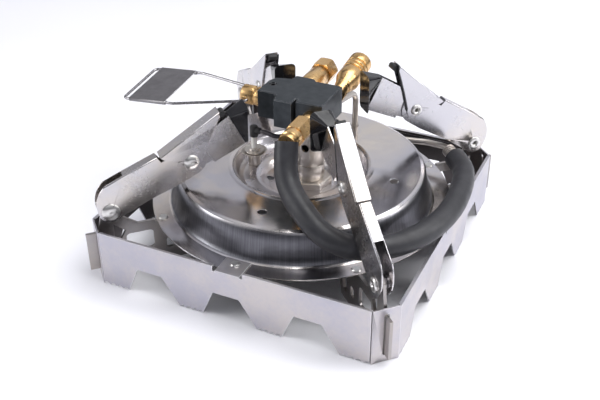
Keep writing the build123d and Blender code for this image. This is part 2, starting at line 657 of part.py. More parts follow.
with BuildPart() as spark_wire:
    with BuildLine():
        Polyline((IGNITER_X, IGNITER_Y, CERAMIC_TOP), (IGNITER_X, IGNITER_Y, SPARK_END + 6),
                 (IGNITER_X + 6, IGNITER_Y, SPARK_END))
    with BuildSketch(Plane(origin=(IGNITER_X, IGNITER_Y, CERAMIC_TOP), z_dir=(0, 0, -1))):
        Circle(0.7)
    sweep(transition=Transition.ROUND)
save(spark_wire, "spark_wire")

# ---------------------------------------------------------------- piezo unit
PIEZO_X, PIEZO_Y = -14.0, 51.5
PIEZO_R, PIEZO_TOP = 5.0, 79.0
BUTTON_R, BUTTON_TOP = 3.0, 84.0

with BuildPart() as piezo_unit:
    with BuildSketch(Plane.XY.offset(PAN_FLOOR_Z)):
        with Locations((PIEZO_X, PIEZO_Y)):
            Circle(PIEZO_R)
    extrude(amount=PIEZO_TOP - PAN_FLOOR_Z)
    fillet(piezo_unit.edges().group_by(Axis.Z)[-1], 1.2)
    with BuildSketch(Plane.XY.offset(PIEZO_TOP)):
        with Locations((PIEZO_X, PIEZO_Y)):
            Circle(BUTTON_R + RUN_GAP)
    extrude(amount=-8, mode=Mode.SUBTRACT)
save(piezo_unit, "piezo_unit")

with BuildPart() as igniter_button:
    with BuildSketch(Plane.XY.offset(PIEZO_TOP - 4.5)):
        with Locations((PIEZO_X, PIEZO_Y)):
            Circle(BUTTON_R)
    extrude(amount=BUTTON_TOP - PIEZO_TOP + 4.5)
    fillet(igniter_button.edges().group_by(Axis.Z)[-1], 0.8)
save(igniter_button, "igniter_button")


# ---------------------------------------------------------------- cords and tubes
def bend_radii(points, share=0.45):
    """Largest tangent arc at each corner: a share of the shorter run over tan(half turn)."""
    vectors = [Vector(*point) for point in points]
    radii = []
    for before, here, after in zip(vectors, vectors[1:], vectors[2:]):
        turn = radians((here - before).get_angle(after - here))
        radii.append(share * min((here - before).length, (after - here).length) / tan(turn / 2))
    return radii


def swept_tube(points, radius, radii, bore=0.0):
    """Round tube along straight runs joined by tangent arcs."""
    with BuildPart() as tube:
        with BuildLine() as route:
            FilletPolyline(*points, radius=radii)
        start = Vector(*points[1]) - Vector(*points[0])
        with BuildSketch(Plane(origin=points[0], z_dir=start)):
            Circle(radius)
            if bore:
                Circle(bore, mode=Mode.SUBTRACT)
        sweep()
    length = route.wires()[0].length
    section = pi * (radius ** 2 - bore ** 2)
    print(f"length {length:.1f} volume share {tube.part.volume / (section * length):.4f}",
          "radii", [round(value, 1) for value in radii])
    return tube


HOSE_ROUTE = [
    (11.6, -44.6, 94.0), (13.2, -49.4, 86.2), (16.4, -55.6, 77.2), (23.8, -62.0, 70.0),
    (33.8, -68.4, 65.2), (45.0, -73.8, 59.4), (57.0, -71.5, 53.0), (69.0, -63.8, 48.2), (81.0, -52.8, 46.8),
    (91.5, -37.0, 46.8), (98.0, -18.0, 46.9), (100.2, 2.0, 47.2), (98.8, 21.0, 46.9), (96.0, 37.0, 46.7),
    (91.5, 49.5, 46.8), (83.5, 58.5, 47.0),
]
hose = swept_tube(HOSE_ROUTE, HOSE_R, bend_radii(HOSE_ROUTE))
save(hose, "rubber_hose")

FERRULE_R, FERRULE_LENGTH = 4.4, 11.0
hose_end = Vector(*HOSE_ROUTE[-1])
hose_heading = (hose_end - Vector(*HOSE_ROUTE[-2])).normalized()
ferrule_plane = Plane(origin=hose_end, z_dir=hose_heading)
with BuildPart() as hose_ferrule:
    with BuildSketch(ferrule_plane):
        Circle(FERRULE_R)
    extrude(amount=FERRULE_LENGTH)
    for ring in range(4):
        with BuildSketch(ferrule_plane.offset(1.4 + ring * 2.1)):
            Circle(FERRULE_R)
            Circle(FERRULE_R - 0.6, mode=Mode.SUBTRACT)
        extrude(amount=0.7, mode=Mode.SUBTRACT)
    chamfer(hose_ferrule.edges().sort_by(Axis(hose_end, hose_heading))[-1], 0.8)
save(hose_ferrule, "hose_ferrule")

ferrule_end = hose_end + hose_heading * FERRULE_LENGTH
JET_PORT_Z = NECK_TOP - 3.4
TUBE_ROUTE = [
    tuple(ferrule_end), tuple(ferrule_end + hose_heading * 4), tuple(tube_turn), tuple(riser_foot),
    (riser_foot.X, riser_foot.Y, JET_PORT_Z), (NECK_X, 30.0, JET_PORT_Z), (NECK_X, NECK_Y, JET_PORT_Z),
]
gas_tube = swept_tube(TUBE_ROUTE, TUBE_R, [4.0, 12.0, 7.0, 7.0, 20.0])
save(gas_tube, "gas_tube")

BOOT_TOP = CERAMIC_TOP + 3.2
LEAD_Z = CERAMIC_TOP + 0.6
LEAD_EXIT = Vector(1, -0.1, 0)
with BuildPart() as lead_boot:
    with BuildSketch(Plane.XY.offset(CERAMIC_TOP - 4)):
        with Locations((IGNITER_X, IGNITER_Y)):
            Circle(2.7)
    extrude(amount=BOOT_TOP - CERAMIC_TOP + 4)
    fillet(lead_boot.edges().group_by(Axis.Z)[-1], 1.2)
    with BuildSketch(Plane(origin=(IGNITER_X, IGNITER_Y, LEAD_Z), z_dir=LEAD_EXIT)):
        Circle(2.0)
    extrude(amount=5.0)
    with BuildSketch(Plane.XY.offset(CERAMIC_TOP - 4)):
        with Locations((IGNITER_X, IGNITER_Y)):
            Circle(CERAMIC_R + 0.02)
    extrude(amount=4, mode=Mode.SUBTRACT)
save(lead_boot, "lead_boot")

lead_start = Vector(IGNITER_X, IGNITER_Y, LEAD_Z) + LEAD_EXIT.normalized() * 5.0
LEAD_ROUTE = [
    tuple(lead_start), tuple(lead_start + LEAD_EXIT * 5.0), (-16.4, -4.0, LEAD_Z - 0.4), (-11.8, -2.2, 71.2),
    (-9.6, 2.8, 70.4), (-9.2, 11.0, 69.2), (-11.0, 21.0, 68.0), (-13.2, 33.0, 67.0),
    (PIEZO_X, PIEZO_Y - PIEZO_R, 66.6),
]
igniter_lead = swept_tube(LEAD_ROUTE, LEAD_R, bend_radii(LEAD_ROUTE))
save(igniter_lead, "igniter_lead")


# ---------------------------------------------------------------- valve block
STEM_X, STEM_Z, STEM_TILT = 14.2, 94.0, 9.0
STEM_R, STEM_DEPTH = 4.8, 4.0
BACK_Y, FRONT_Y = 18.5, -12.0
BONNET_X, BONNET_Z = -7.0, 95.0
BONNET_Y = 21.2
SPINDLE_BORE_R = 4.6
SCREW_X, SCREW_Y, SCREW_R = -21.0, 4.0, 2.7
LEFT_X = -26.0
stem_plane = Plane(origin=(STEM_X, BACK_Y, STEM_Z), x_dir=(1, 0, 0),
                   z_dir=(0, cos(radians(STEM_TILT)), sin(radians(STEM_TILT))))

with BuildPart() as valve_body:
    with BuildSketch(Plane.XY.offset(BLOCK_LOW)):
        with BuildLine():
            Polyline((LEFT_X, -7.5), (LEFT_X, 8), (-23, 13.5), (-13.8, 15.7), (-13.2, BONNET_Y),
                     (-0.8, BONNET_Y), (1.6, BACK_Y), (19.2, BACK_Y), (19.2, FRONT_Y), (1.9, FRONT_Y),
                     (1.9, FRONT_Y + 2.5), (0.4, FRONT_Y + 2.5), (0.4, -15.5), (-11.2, -15.5),
                     (-12.2, -10), (-14.6, -7.5), close=True)
        make_face()
    extrude(amount=BLOCK_HIGH - BLOCK_LOW)
    chamfer(valve_body.edges().group_by(Axis.Z)[-1], 0.5)
    with BuildSketch(Plane(origin=(LEFT_X, SPINDLE_Y, SPINDLE_Z), z_dir=(-1, 0, 0))):
        Circle(SPINDLE_BORE_R)
    extrude(amount=-9, mode=Mode.SUBTRACT)
    with BuildSketch(stem_plane):
        Circle(STEM_R)
    extrude(amount=2, mode=Mode.SUBTRACT)
    with BuildSketch(stem_plane):
        Circle(STEM_R)
    extrude(amount=-STEM_DEPTH, mode=Mode.SUBTRACT)
    with BuildSketch(Plane.XY.offset(BLOCK_HIGH)):
        with Locations((SCREW_X, SCREW_Y)):
            Circle(SCREW_R)
    extrude(amount=-3.6, mode=Mode.SUBTRACT)
save(valve_body, "valve_body")

with BuildPart() as port_screw:
    with BuildSketch(Plane.XY.offset(BLOCK_HIGH - 3.6)):
        with Locations((SCREW_X, SCREW_Y)):
            Circle(SCREW_R)
    extrude(amount=3.2)
    chamfer(port_screw.edges().group_by(Axis.Z)[-1], 0.3)
    with BuildSketch(Plane.XY.offset(BLOCK_HIGH - 0.4)):
        with Locations((SCREW_X, SCREW_Y)):
            RegularPolygon(1.5, 6)
    extrude(amount=-2, mode=Mode.SUBTRACT)
save(port_screw, "port_screw")


def turned(plane, outline):
    """Solid of revolution about the plane's normal; outline is (along, radius) from its origin."""
    section_plane = Plane(origin=plane.origin, x_dir=plane.z_dir, z_dir=plane.y_dir)
    with BuildPart() as piece:
        with BuildSketch(section_plane):
            with BuildLine():
                Polyline((outline[0][0], 0), *outline, (outline[-1][0], 0), close=True)
            make_face()
        revolve(axis=Axis(plane.origin, plane.z_dir))
    return piece.part


def hexagon(plane, start, length, across_corners):
    """Hexagonal length of a turned fitting, its end corners chamfered round."""
    with BuildPart() as piece:
        with BuildSketch(plane.offset(start)):
            RegularPolygon(across_corners, 6)
        extrude(amount=length)
        add(turned(plane, [(start - 1, across_corners - 1.6), (start + 1.0, across_corners + 0.15),
                           (start + length - 1.0, across_corners + 0.15), (start + length + 1, across_corners - 1.6)]),
            mode=Mode.INTERSECT)
    return piece.part


COLLAR_R, COLLAR_START, COLLAR_END = 7.6, 20.0, 44.0
GROOVES = (28.0, 31.6, 35.2)
THREAD_R, THREAD_DEPTH = 5.3, 9.5
SEAL_R = 4.4
grooved = []
for groove in GROOVES:
    grooved += [(groove, COLLAR_R), (groove + 0.35, COLLAR_R - 0.8), (groove + 1.15, COLLAR_R - 0.8),
                (groove + 1.5, COLLAR_R)]
with BuildPart() as canister_collar:
    add(turned(stem_plane, [(-STEM_DEPTH, STEM_R), (12, STEM_R), (13, STEM_R + 0.5), (15, STEM_R + 0.8),
                            (COLLAR_START - 0.5, COLLAR_R - 0.3), (COLLAR_START + 0.5, COLLAR_R), *grooved,
                            (COLLAR_END - 1.0, COLLAR_R), (COLLAR_END, COLLAR_R - 0.9)]))
    with BuildSketch(stem_plane.offset(COLLAR_END)):
        Circle(THREAD_R)
    extrude(amount=-THREAD_DEPTH, mode=Mode.SUBTRACT)
    with BuildSketch(stem_plane.offset(COLLAR_END - THREAD_DEPTH)):
        Circle(SEAL_R)
    extrude(amount=-1.8, mode=Mode.SUBTRACT)
    with BuildSketch(stem_plane.offset(COLLAR_END)):
        Circle(1.5)
    extrude(amount=-26, mode=Mode.SUBTRACT)
save(canister_collar, "canister_collar")

with BuildPart() as canister_seal:
    with BuildSketch(stem_plane.offset(COLLAR_END - THREAD_DEPTH)):
        Circle(SEAL_R)
        Circle(2.0, mode=Mode.SUBTRACT)
    extrude(amount=-1.8)
save(canister_seal, "canister_seal")

bonnet_plane = Plane(origin=(BONNET_X, BONNET_Y, BONNET_Z), x_dir=(1, 0, 0), z_dir=(0, 1, 0))
with BuildPart() as valve_bonnet:
    add(turned(bonnet_plane, [(0, 6.0), (1.6, 6.0), (2.0, 6.7), (21, 6.7), (22, 6.2), (23, 6.2)]))
    add(hexagon(bonnet_plane, 23, 11, 8.3))
save(valve_bonnet, "valve_bonnet")

fitting_plane = Plane(origin=(FITTING_X, FRONT_Y, FITTING_Z), x_dir=(1, 0, 0), z_dir=(0, -1, 0))
with BuildPart() as hose_fitting:
    add(turned(fitting_plane, [(0, 5.2), (7.4, 5.2), (7.6, 4.6), (8.4, 4.6), (9, 5.4), (24, 5.4), (24.6, 6.1),
                               (30.4, 6.1), (31, 5.4), (34, 5.4)]))
    add(hexagon(fitting_plane, 9, 15, 7.0))
save(hose_fitting, "hose_fitting")

SPINDLE_LENGTH = 15.5
spindle_plane = Plane(origin=(LEFT_X, SPINDLE_Y, SPINDLE_Z), x_dir=(0, 1, 0), z_dir=(-1, 0, 0))
with BuildPart() as valve_spindle:
    add(turned(spindle_plane, [(-8, SPINDLE_BORE_R - RUN_GAP), (0.15, SPINDLE_BORE_R - RUN_GAP), (0.15, 6.2),
                               (5, 6.2), (5.6, 5.4), (7, 5.4), (7.6, 6.2), (SPINDLE_LENGTH - 1, 6.2),
                               (SPINDLE_LENGTH, 5.3)]))
    with Locations((BAIL_X, SPINDLE_Y, SPINDLE_Z)):
        Cylinder(WIRE_R + RUN_GAP, 20, rotation=(90 + BAIL_TURN, 0, 0), mode=Mode.SUBTRACT)
save(valve_spindle, "valve_spindle")


# ---------------------------------------------------------------- bail handle
BAIL_LENGTH, BAIL_HALF = 85.0, 20.0
FLAG_START, FLAG_END = 52.0, 80.0
FLAG_SHEET = 0.5
bail_pivot = Vector(0, cos(radians(BAIL_TURN)), sin(radians(BAIL_TURN)))
bail_reach = Vector(-1, 0, 0).rotate(Axis((0, 0, 0), bail_pivot), -BAIL_DROOP)
bail_plane = Plane(origin=(BAIL_X, SPINDLE_Y, SPINDLE_Z), x_dir=bail_reach,
                   z_dir=bail_pivot.cross(bail_reach))
bail_points = [(0, 2.0), (0, 7.6), (FLAG_START - 5, BAIL_HALF), (BAIL_LENGTH, BAIL_HALF)]
bail_points += [(x, -y) for x, y in bail_points[::-1]]
with BuildPart() as bail_wire:
    with BuildLine():
        FilletPolyline(*[(x, y, 0) for x, y in bail_points], radius=[2.0, 8.0, 3.0, 3.0, 8.0, 2.0])
    with BuildSketch(Plane(origin=(0, 2.0, 0), z_dir=(0, 1, 0))):
        Circle(WIRE_R)
    sweep()
save(bail_wire, "bail_wire", bail_plane)

CURL_R = WIRE_R + FLAG_SHEET
with BuildPart() as bail_flag:
    with BuildSketch(Plane.YZ.offset(FLAG_START)):
        with Locations((0, WIRE_R + FLAG_SHEET / 2)):
            Rectangle(2 * BAIL_HALF, FLAG_SHEET)
        with Locations((-BAIL_HALF, 0), (BAIL_HALF, 0)):
            Circle(CURL_R)
        with Locations((-BAIL_HALF, 0), (BAIL_HALF, 0)):
            Circle(WIRE_R, mode=Mode.SUBTRACT)
    extrude(amount=FLAG_END - FLAG_START)
save(bail_flag, "bail_flag", bail_plane)
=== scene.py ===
"""Looks of a folding gas stove, stowed upside down on its windshield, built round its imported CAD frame."""

import json
import math

import bmesh
import bpy
from mathutils import Matrix, Vector


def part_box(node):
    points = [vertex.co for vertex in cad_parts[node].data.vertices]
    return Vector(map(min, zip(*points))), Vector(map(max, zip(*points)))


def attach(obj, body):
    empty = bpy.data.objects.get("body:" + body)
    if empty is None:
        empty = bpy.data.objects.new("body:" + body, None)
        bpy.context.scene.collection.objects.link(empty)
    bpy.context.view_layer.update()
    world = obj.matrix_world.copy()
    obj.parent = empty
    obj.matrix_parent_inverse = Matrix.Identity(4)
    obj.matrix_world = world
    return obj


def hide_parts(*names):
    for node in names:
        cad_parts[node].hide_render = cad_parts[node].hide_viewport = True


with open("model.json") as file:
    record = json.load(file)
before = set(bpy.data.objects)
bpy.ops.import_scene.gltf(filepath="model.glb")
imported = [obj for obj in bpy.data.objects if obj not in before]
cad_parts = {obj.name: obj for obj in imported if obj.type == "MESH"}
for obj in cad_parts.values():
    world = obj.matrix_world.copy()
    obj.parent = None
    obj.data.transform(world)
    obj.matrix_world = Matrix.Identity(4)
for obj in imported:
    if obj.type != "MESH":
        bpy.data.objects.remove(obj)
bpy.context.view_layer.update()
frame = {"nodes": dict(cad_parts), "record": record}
MM = 0.001
MICRON = 0.000001
LEGS = ("left", "front", "right", "back")


# ---------------------------------------------------------------- camera
CAMERA_TARGET = Vector((-18.3, 36.2, 0.0)) * MM
CAMERA_AZIMUTH, CAMERA_ELEVATION = math.radians(25.247), math.radians(32.527)
CAMERA_DISTANCE = 0.6471
CAMERA_LENS = 55.2
CAMERA_SENSOR = 36.0
CAMERA_ROLL = math.radians(-0.34)
CAMERA_NEAR = 0.01


def make_camera():
    back = Vector((math.sin(CAMERA_AZIMUTH) * math.cos(CAMERA_ELEVATION),
                   -math.cos(CAMERA_AZIMUTH) * math.cos(CAMERA_ELEVATION),
                   math.sin(CAMERA_ELEVATION)))
    data = bpy.data.cameras.new("camera")
    data.lens = CAMERA_LENS
    data.sensor_width = CAMERA_SENSOR
    data.clip_start = CAMERA_NEAR
    camera = bpy.data.objects.new("camera", data)
    camera.location = CAMERA_TARGET + back * CAMERA_DISTANCE
    camera.rotation_mode = "QUATERNION"
    look = (-back).to_track_quat("-Z", "Y")
    camera.rotation_quaternion = look @ Matrix.Rotation(CAMERA_ROLL, 4, "Z").to_quaternion()
    bpy.context.collection.objects.link(camera)
    bpy.context.scene.camera = camera


make_camera()


# ---------------------------------------------------------------- node helpers
class Nodes:
    """The node tree of a material or a world, and short ways to lay its nodes."""

    def __init__(self, owner, coordinates="Object"):
        owner.use_nodes = True
        self.tree = owner.node_tree
        source = self.add("ShaderNodeTexCoord")
        self.place = source.outputs[coordinates]
        self.facing = source.outputs["Normal"]

    def add(self, kind, **values):
        node = self.tree.nodes.new(kind)
        for key, value in values.items():
            setattr(node, key, value)
        return node

    def feed(self, value, socket):
        """Links an output to a socket, or sets the socket to a number, a vector or a colour."""
        if isinstance(value, bpy.types.NodeSocket):
            self.tree.links.new(value, socket)
        elif socket.type == "RGBA":
            socket.default_value = (*value, 1.0)
        else:
            socket.default_value = value

    def noise(self, scale, detail=3.0, stretch=None, rough=0.5, distortion=0.0, place=None):
        """Noise over place; stretch scales each axis on its own."""
        where = place or self.place
        if stretch:
            mapping = self.add("ShaderNodeMapping")
            self.feed(stretch, mapping.inputs["Scale"])
            self.feed(where, mapping.inputs["Vector"])
            where = mapping.outputs["Vector"]
        node = self.add("ShaderNodeTexNoise")
        self.feed(scale, node.inputs["Scale"])
        self.feed(detail, node.inputs["Detail"])
        self.feed(rough, node.inputs["Roughness"])
        self.feed(distortion, node.inputs["Distortion"])
        self.feed(where, node.inputs["Vector"])
        return node.outputs["Fac"]

    def ramp(self, fac, *stops):
        """stops: (position, value or colour) pairs."""
        node = self.add("ShaderNodeValToRGB")
        for element, (position, value) in zip(node.color_ramp.elements, stops):
            colour = value if isinstance(value, tuple) else (value, value, value)
            element.position = position
            element.color = (*colour, 1.0)
        self.feed(fac, node.inputs["Fac"])
        return node.outputs["Color"]

    def smooth(self, value, start, end):
        """0 before start and 1 after end, or the other way round where start is the larger."""
        node = self.add("ShaderNodeMapRange", interpolation_type="SMOOTHSTEP")
        self.feed(value, node.inputs["Value"])
        self.feed(start, node.inputs["From Min"])
        self.feed(end, node.inputs["From Max"])
        return node.outputs["Result"]

    def mix(self, fac, one, two):
        node = self.add("ShaderNodeMix", data_type="RGBA")
        self.feed(fac, node.inputs["Factor"])
        self.feed(one, node.inputs[6])
        self.feed(two, node.inputs[7])
        return node.outputs[2]

    def math(self, operation, one, two=0.0):
        node = self.add("ShaderNodeMath", operation=operation)
        self.feed(one, node.inputs[0])
        self.feed(two, node.inputs[1])
        return node.outputs[0]

    def vector(self, operation, one, two):
        node = self.add("ShaderNodeVectorMath", operation=operation)
        self.feed(one, node.inputs[0])
        self.feed(two, node.inputs[1])
        return node.outputs["Value" if operation == "DOT_PRODUCT" else "Vector"]

    def split(self, vector):
        node = self.add("ShaderNodeSeparateXYZ")
        self.feed(vector, node.inputs[0])
        return node.outputs


class Material(Nodes):
    """One procedural material."""

    def __init__(self, name, **constants):
        self.material = bpy.data.materials.new(name)
        super().__init__(self.material)
        self.shader = self.tree.nodes["Principled BSDF"]
        for key, value in constants.items():
            self.shader.inputs[key.replace("_", " ")].default_value = value

    def colour(self, value):
        self.feed(value, self.shader.inputs["Base Color"])

    def blotches(self, scale, edges, one, two, detail=4, rough=0.5):
        """Colour that passes from one to two in cloudy patches."""
        fac = self.ramp(self.noise(scale, detail, rough=rough), (edges[0], 0.0), (edges[1], 1.0))
        return self.mix(fac, one, two)

    def rough(self, value):
        self.feed(value, self.shader.inputs["Roughness"])

    def relief(self, height, depth, strength):
        """Adds a bump of a depth in metres on top of those laid before it."""
        node = self.add("ShaderNodeBump")
        self.feed(depth, node.inputs["Distance"])
        self.feed(strength, node.inputs["Strength"])
        self.feed(height, node.inputs["Height"])
        normal = self.shader.inputs["Normal"]
        if normal.is_linked:
            self.feed(normal.links[0].from_socket, node.inputs["Normal"])
        self.feed(node.outputs["Normal"], normal)


# ---------------------------------------------------------------- sheet steel
INWARD_GAIN = 12.0          # brings a wall's distance from the middle, 0.1 m, to about one


def sheet_steel(name, tint, warm, polish, grain, wave, inside=None):
    """Rolled stainless sheet: fine grain, faint blotches of warmer tint, slightly wavy surface.

    polish is the lowest and highest roughness, and inside the colour of painted shade on faces that look
    towards the middle of the stove.
    """
    m = Material(name, Metallic=1.0)
    broad = m.math("MULTIPLY", m.noise(scale=26, detail=4, rough=0.6), 0.8)
    fine = m.math("MULTIPLY", m.noise(scale=420, detail=4, rough=0.7), 0.2)
    tone = m.mix(m.ramp(m.math("ADD", broad, fine), (0.42, 0.0), (0.62, 1.0)), tint, warm)
    # painted shade: faces that look towards the middle of the stove take the darker inside colour, as if
    # shaded within the windshield
    if inside:
        towards_middle = m.vector("MULTIPLY", m.place, (-INWARD_GAIN, -INWARD_GAIN, 0.0))
        inward = m.vector("DOT_PRODUCT", towards_middle, m.facing)
        tone = m.mix(m.ramp(inward, (0.2, 0.0), (0.6, 1.0)), tone, inside)
    m.colour(tone)
    lines = m.noise(scale=1.0, detail=5, stretch=grain, rough=0.7)
    smear = m.noise(scale=60, detail=5, distortion=0.8)
    marks = m.math("ADD", m.math("MULTIPLY", lines, 0.5), m.math("MULTIPLY", smear, 0.5))
    m.rough(m.ramp(marks, (0.3, polish[0]), (0.7, polish[1])))
    m.relief(m.noise(scale=14, detail=2), depth=wave, strength=0.6)
    m.relief(lines, depth=6 * MICRON, strength=0.4)
    return m.material


# ---------------------------------------------------------------- the dish
TENFOLD = 10.0              # the dish's radius, 0.1 m, fills a ramp from 0 to 1
SIDE_START, SIDE_END = (0.765, 0.785), (0.835, 0.845)       # tenfold radii of the drawn side wall, where a dark reflection is painted
WELL_EDGE = (0.42, 0.45)                                    # tenfold radii where the well's satin ends


def pan_steel():
    """Spun and polished dish: spinning rings, drawing marks down its side darkened as a painted reflection,
    warm blotches, painted shade on its underside.
    """
    m = Material("pan_steel", Metallic=1.0)
    x, y, _ = m.split(m.place)
    angle = m.math("ARCTAN2", y, x)
    radius = m.math("SQRT", m.math("ADD", m.math("MULTIPLY", x, x), m.math("MULTIPLY", y, y)))
    polar = m.add("ShaderNodeCombineXYZ")
    m.feed(angle, polar.inputs[0])
    m.feed(radius, polar.inputs[1])
    round_the_dish = polar.outputs[0]

    tenfold = m.math("MULTIPLY", radius, TENFOLD)
    past_start = m.ramp(tenfold, (SIDE_START[0], 0.0), (SIDE_START[1], 1.0))
    before_end = m.ramp(tenfold, (SIDE_END[0], 1.0), (SIDE_END[1], 0.0))
    side = m.math("MULTIPLY", past_start, before_end)
    well = m.ramp(tenfold, (WELL_EDGE[0], 1.0), (WELL_EDGE[1], 0.0))
    rays = m.noise(scale=1.0, detail=5, stretch=(150, 10, 1), rough=0.75, place=round_the_dish)
    rings = m.noise(scale=1.0, detail=4, stretch=(1.0, 1500, 1), rough=0.6, place=round_the_dish)

    blotch = m.noise(scale=22, detail=4, rough=0.6, distortion=0.6)
    polished = m.mix(m.ramp(blotch, (0.4, 0.0), (0.66, 1.0)), (0.60, 0.585, 0.62), (0.74, 0.68, 0.62))
    # painted reflection: the side wall's colour is darkened to stand for the dark things it reflects, with
    # the drawing marks in it
    drawn = m.mix(m.ramp(rays, (0.35, 0.0), (0.65, 1.0)), (0.13, 0.13, 0.15), (0.24, 0.24, 0.26))
    # painted shade: faces that look downwards are darkened almost to black, as the shaded inside of the
    # stove, with a little random tone
    underside_painted_shade = m.mix(m.noise(scale=60, detail=4), (0.05, 0.045, 0.04), (0.09, 0.08, 0.075))
    downward = m.math("MULTIPLY", m.split(m.facing)[2], -1.0)
    underside = m.ramp(downward, (0.2, 0.0), (0.6, 1.0))
    m.colour(m.mix(underside, m.mix(side, polished, drawn), underside_painted_shade))

    satin = m.math("ADD", m.math("MULTIPLY", side, 0.16), m.math("MULTIPLY", well, 0.1))
    smear = m.noise(scale=45, detail=5, distortion=1.2)
    m.rough(m.math("ADD", m.ramp(smear, (0.3, 0.13), (0.75, 0.26)), satin))
    m.relief(m.noise(scale=18, detail=2), depth=900 * MICRON, strength=0.5)
    m.relief(m.math("MULTIPLY", rays, side), depth=12 * MICRON, strength=0.4)
    m.relief(rings, depth=4 * MICRON, strength=0.3)
    return m.material


# ---------------------------------------------------------------- brass
GROOVE_PLACES = (3.3, 6.9, 10.5)     # back from the middle of the port's bore, in mm
GROOVE_WIDTH = 0.85
# colour of the painted shade in the collar's grip grooves
GROOVE_SHADE = (0.16, 0.09, 0.035)


def turned_brass(name, grooved=False):
    """Turned brass; the canister collar's grip grooves are darkened with painted shade."""
    m = Material(name, Metallic=1.0)
    tone = m.blotches(scale=120, edges=(0.35, 0.7), one=(0.82, 0.55, 0.26), two=(0.66, 0.41, 0.17), rough=0.6)
    # painted shade: the three grip grooves of the collar are coloured dark, as shade in the hollows
    if grooved:
        port = next(mount for mount in frame["record"]["mounts"] if mount["name"] == "canister_port")
        from_port = m.vector("SUBTRACT", m.place, tuple(port["pos_m"]))
        along = m.vector("DOT_PRODUCT", from_port, tuple(-value for value in port["axis"]))
        for place in GROOVE_PLACES:
            gap = m.math("ABSOLUTE", m.math("SUBTRACT", along, place * MM))
            inside = m.math("LESS_THAN", gap, GROOVE_WIDTH / 2 * MM)
            tone = m.mix(inside, tone, GROOVE_SHADE)
    m.colour(tone)
    m.rough(m.ramp(m.noise(scale=260, detail=5), (0.3, 0.22), (0.75, 0.36)))
    marks = m.noise(scale=1.0, detail=4, stretch=(160, 4200, 160), rough=0.7)
    m.relief(marks, depth=4 * MICRON, strength=0.5)
    m.relief(m.noise(scale=900, detail=3), depth=5 * MICRON, strength=0.3)
    return m.material


# ---------------------------------------------------------------- other materials
def anodised():
    """Bead-blasted, black anodised aluminium."""
    m = Material("anodised", Metallic=0.75)
    m.colour(m.blotches(scale=240, edges=(0.35, 0.7), one=(0.046, 0.053, 0.060), two=(0.064, 0.072, 0.080)))
    m.rough(m.ramp(m.noise(scale=90, detail=4), (0.3, 0.34), (0.7, 0.46)))
    m.relief(m.noise(scale=5200, detail=2, rough=0.8), depth=8 * MICRON, strength=0.5)
    return m.material


def rubber(name, tint, dust, rough):
    """Moulded rubber or plastic, a little dusty; rough is its middle roughness."""
    m = Material(name, Metallic=0.0, Specular_IOR_Level=0.45)
    m.colour(m.blotches(scale=70, edges=(0.4, 0.75), one=tint, two=dust, detail=5, rough=0.7))
    m.rough(m.ramp(m.noise(scale=160, detail=4), (0.3, rough - 0.07), (0.7, rough + 0.07)))
    m.relief(m.noise(scale=2600, detail=3), depth=20 * MICRON, strength=0.4)
    m.relief(m.noise(scale=120, detail=2), depth=100 * MICRON, strength=0.25)
    return m.material


def gloss_black():
    """Glossy black plastic dip of the shoes."""
    m = Material("gloss_black", Metallic=0.0, Specular_IOR_Level=0.45, Coat_Weight=0.25, Coat_Roughness=0.08)
    m.colour(m.mix(m.noise(scale=180, detail=3), (0.008, 0.008, 0.009), (0.015, 0.015, 0.018)))
    m.rough(m.ramp(m.noise(scale=90, detail=4), (0.3, 0.1), (0.7, 0.2)))
    m.relief(m.noise(scale=70, detail=2, stretch=(1, 1, 0.3)), depth=600 * MICRON, strength=0.35)
    return m.material


def plain_metal(name, tint, shade, polish, grit=900):
    """Small metal pieces; polish is the lowest and highest roughness."""
    m = Material(name, Metallic=1.0)
    m.colour(m.blotches(scale=140, edges=(0.35, 0.7), one=tint, two=shade))
    m.rough(m.ramp(m.noise(scale=300, detail=4), (0.3, polish[0]), (0.7, polish[1])))
    m.relief(m.noise(scale=grit, detail=3), depth=4 * MICRON, strength=0.4)
    return m.material


def ceramic():
    m = Material("ceramic", Specular_IOR_Level=0.5, Subsurface_Weight=0.1,
                 Subsurface_Radius=(0.001, 0.0008, 0.0006))
    m.colour(m.mix(m.noise(scale=300, detail=3), (0.86, 0.84, 0.80), (0.93, 0.92, 0.89)))
    m.rough(m.ramp(m.noise(scale=400, detail=3), (0.3, 0.22), (0.7, 0.36)))
    m.relief(m.noise(scale=1500, detail=2), depth=20 * MICRON, strength=0.3)
    return m.material


def cast_iron():
    m = Material("cast_iron", Metallic=0.9)
    m.colour(m.mix(m.noise(scale=150, detail=5), (0.20, 0.19, 0.18), (0.33, 0.31, 0.29)))
    m.rough(m.ramp(m.noise(scale=300, detail=4), (0.3, 0.45), (0.7, 0.65)))
    m.relief(m.noise(scale=1400, detail=4), depth=250 * MICRON, strength=0.6)
    return m.material


